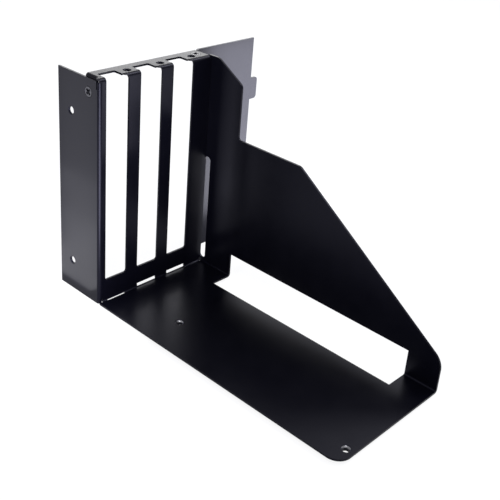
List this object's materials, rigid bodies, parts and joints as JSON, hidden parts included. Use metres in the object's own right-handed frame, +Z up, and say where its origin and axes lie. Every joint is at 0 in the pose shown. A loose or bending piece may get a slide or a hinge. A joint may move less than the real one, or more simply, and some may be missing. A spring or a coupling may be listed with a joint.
{
  "type": "vertical graphics card mount",
  "caption": "Folded sheet steel mount that holds a graphics card upright: shelf with a cable opening, slotted rear panel, tall sloping side wall, side plate and rear cover wing.",
  "frame": {"origin": "middle of the outer box, at the level of the shelf dimples' lower ends", "axes": "+X from the left plate's rear edge to the shelf's front edge, +Y from the left plate to the wing's lug, +Z up"},
  "size_m": [0.185, 0.1176, 0.1192],
  "materials": {
    "coated_sheet": "semi-gloss black powder coat",
    "black_screw": "black zinc"
  },
  "bodies": {
    "root": {"folded_bracket": "coated_sheet", "side_screw": "black_screw", "top_screw": "black_screw"}
  },
  "joints": []
}
